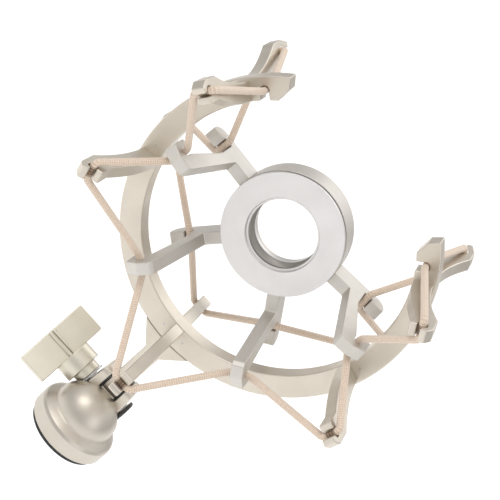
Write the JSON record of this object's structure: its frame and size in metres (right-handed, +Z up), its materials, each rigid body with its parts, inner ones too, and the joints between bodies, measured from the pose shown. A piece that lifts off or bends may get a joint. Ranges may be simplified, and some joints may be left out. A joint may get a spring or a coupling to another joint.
{
  "type": "microphone shock mount",
  "caption": "Open ring on a tilting stand base, with a threaded inner cradle hung in it by one elastic cord strung between bowed forks and hooked arms.",
  "frame": {"origin": "centre of the mouth of the stand thread, in the plane of the metal rim of the base", "axes": "+Z up along the stand thread; -Y is the front, the side the thread nut and the front cord face; +X is the right hand side seen from the front"},
  "size_m": [0.1138, 0.0921, 0.1431],
  "materials": {
    "satin_nickel_base": "turned, satin nickel plated",
    "satin_nickel_key": "satin nickel plated",
    "satin_nickel_frame": "satin nickel plated",
    "satin_nickel_cradle": "satin nickel plated",
    "satin_nickel_nut": "turned, fine matt nickel",
    "steel": "bright turned",
    "black_steel": "black oxide",
    "brass": "plain turned",
    "black_rubber": "matt",
    "black_nylon": "matt",
    "elastic_cord": "braided sleeve over rubber strands"
  },
  "bodies": {
    "base": {"stand_base": "satin_nickel_base", "foot_ring": "black_rubber", "thread_bush": "brass", "liner_left": "black_nylon", "liner_right": "black_nylon", "lock_nut": "black_steel"},
    "key": {"wing_key": "satin_nickel_key", "clamp_bolt": "steel", "thrust_washer": "steel"},
    "frame": {"c_ring": "satin_nickel_frame", "stem": "satin_nickel_frame", "bow_end_left_front": "satin_nickel_frame", "bow_end_left_rear": "satin_nickel_frame", "bow_side_left_front": "satin_nickel_frame", "bow_side_left_rear": "satin_nickel_frame", "bow_stem_front": "satin_nickel_frame", "bow_stem_rear": "satin_nickel_frame", "bow_side_right_front": "satin_nickel_frame", "bow_side_right_rear": "satin_nickel_frame", "bow_end_right_front": "satin_nickel_frame", "bow_end_right_rear": "satin_nickel_frame", "cord_end_left": "elastic_cord", "cord_end_right": "elastic_cord", "cord_upper_left_front": "elastic_cord", "cord_upper_left_rear": "elastic_cord", "cord_lower_left_front": "elastic_cord", "cord_lower_left_rear": "elastic_cord", "cord_lower_right_front": "elastic_cord", "cord_lower_right_rear": "elastic_cord", "cord_upper_right_front": "elastic_cord", "cord_upper_right_rear": "elastic_cord"},
    "cradle": {"hub_ring": "satin_nickel_cradle", "arm_upper_left": "satin_nickel_cradle", "arm_lower_left": "satin_nickel_cradle", "arm_lower_right": "satin_nickel_cradle", "arm_upper_right": "satin_nickel_cradle"},
    "nut": {"thread_nut": "satin_nickel_nut"}
  },
  "joints": [
    {"name": "frame_tilt", "type": "hinge", "parent": "base", "child": "frame", "pos_m": [0, 0.006, 0.0171], "axis": [1, 0, 0], "range_deg": [-90, 15]},
    {"name": "key_turn", "type": "hinge", "parent": "base", "child": "key", "pos_m": [0, 0.006, 0.0171], "axis": [-1, 0, 0], "range_deg": [0, 540]},
    {"name": "cradle_float", "type": "slide", "parent": "frame", "child": "cradle", "axis": [0, -1, 0], "range_m": [-0.005, 0.005], "stiffness_N_per_m": 400, "deforming": ["cord_upper_left_front", "cord_upper_left_rear", "cord_lower_left_front", "cord_lower_left_rear", "cord_lower_right_front", "cord_lower_right_rear", "cord_upper_right_front", "cord_upper_right_rear"]},
    {"name": "nut_turn", "type": "hinge", "parent": "cradle", "child": "nut", "pos_m": [0, 0.0102, 0.1014], "axis": [0, -1, 0], "continuous": true}
  ]
}
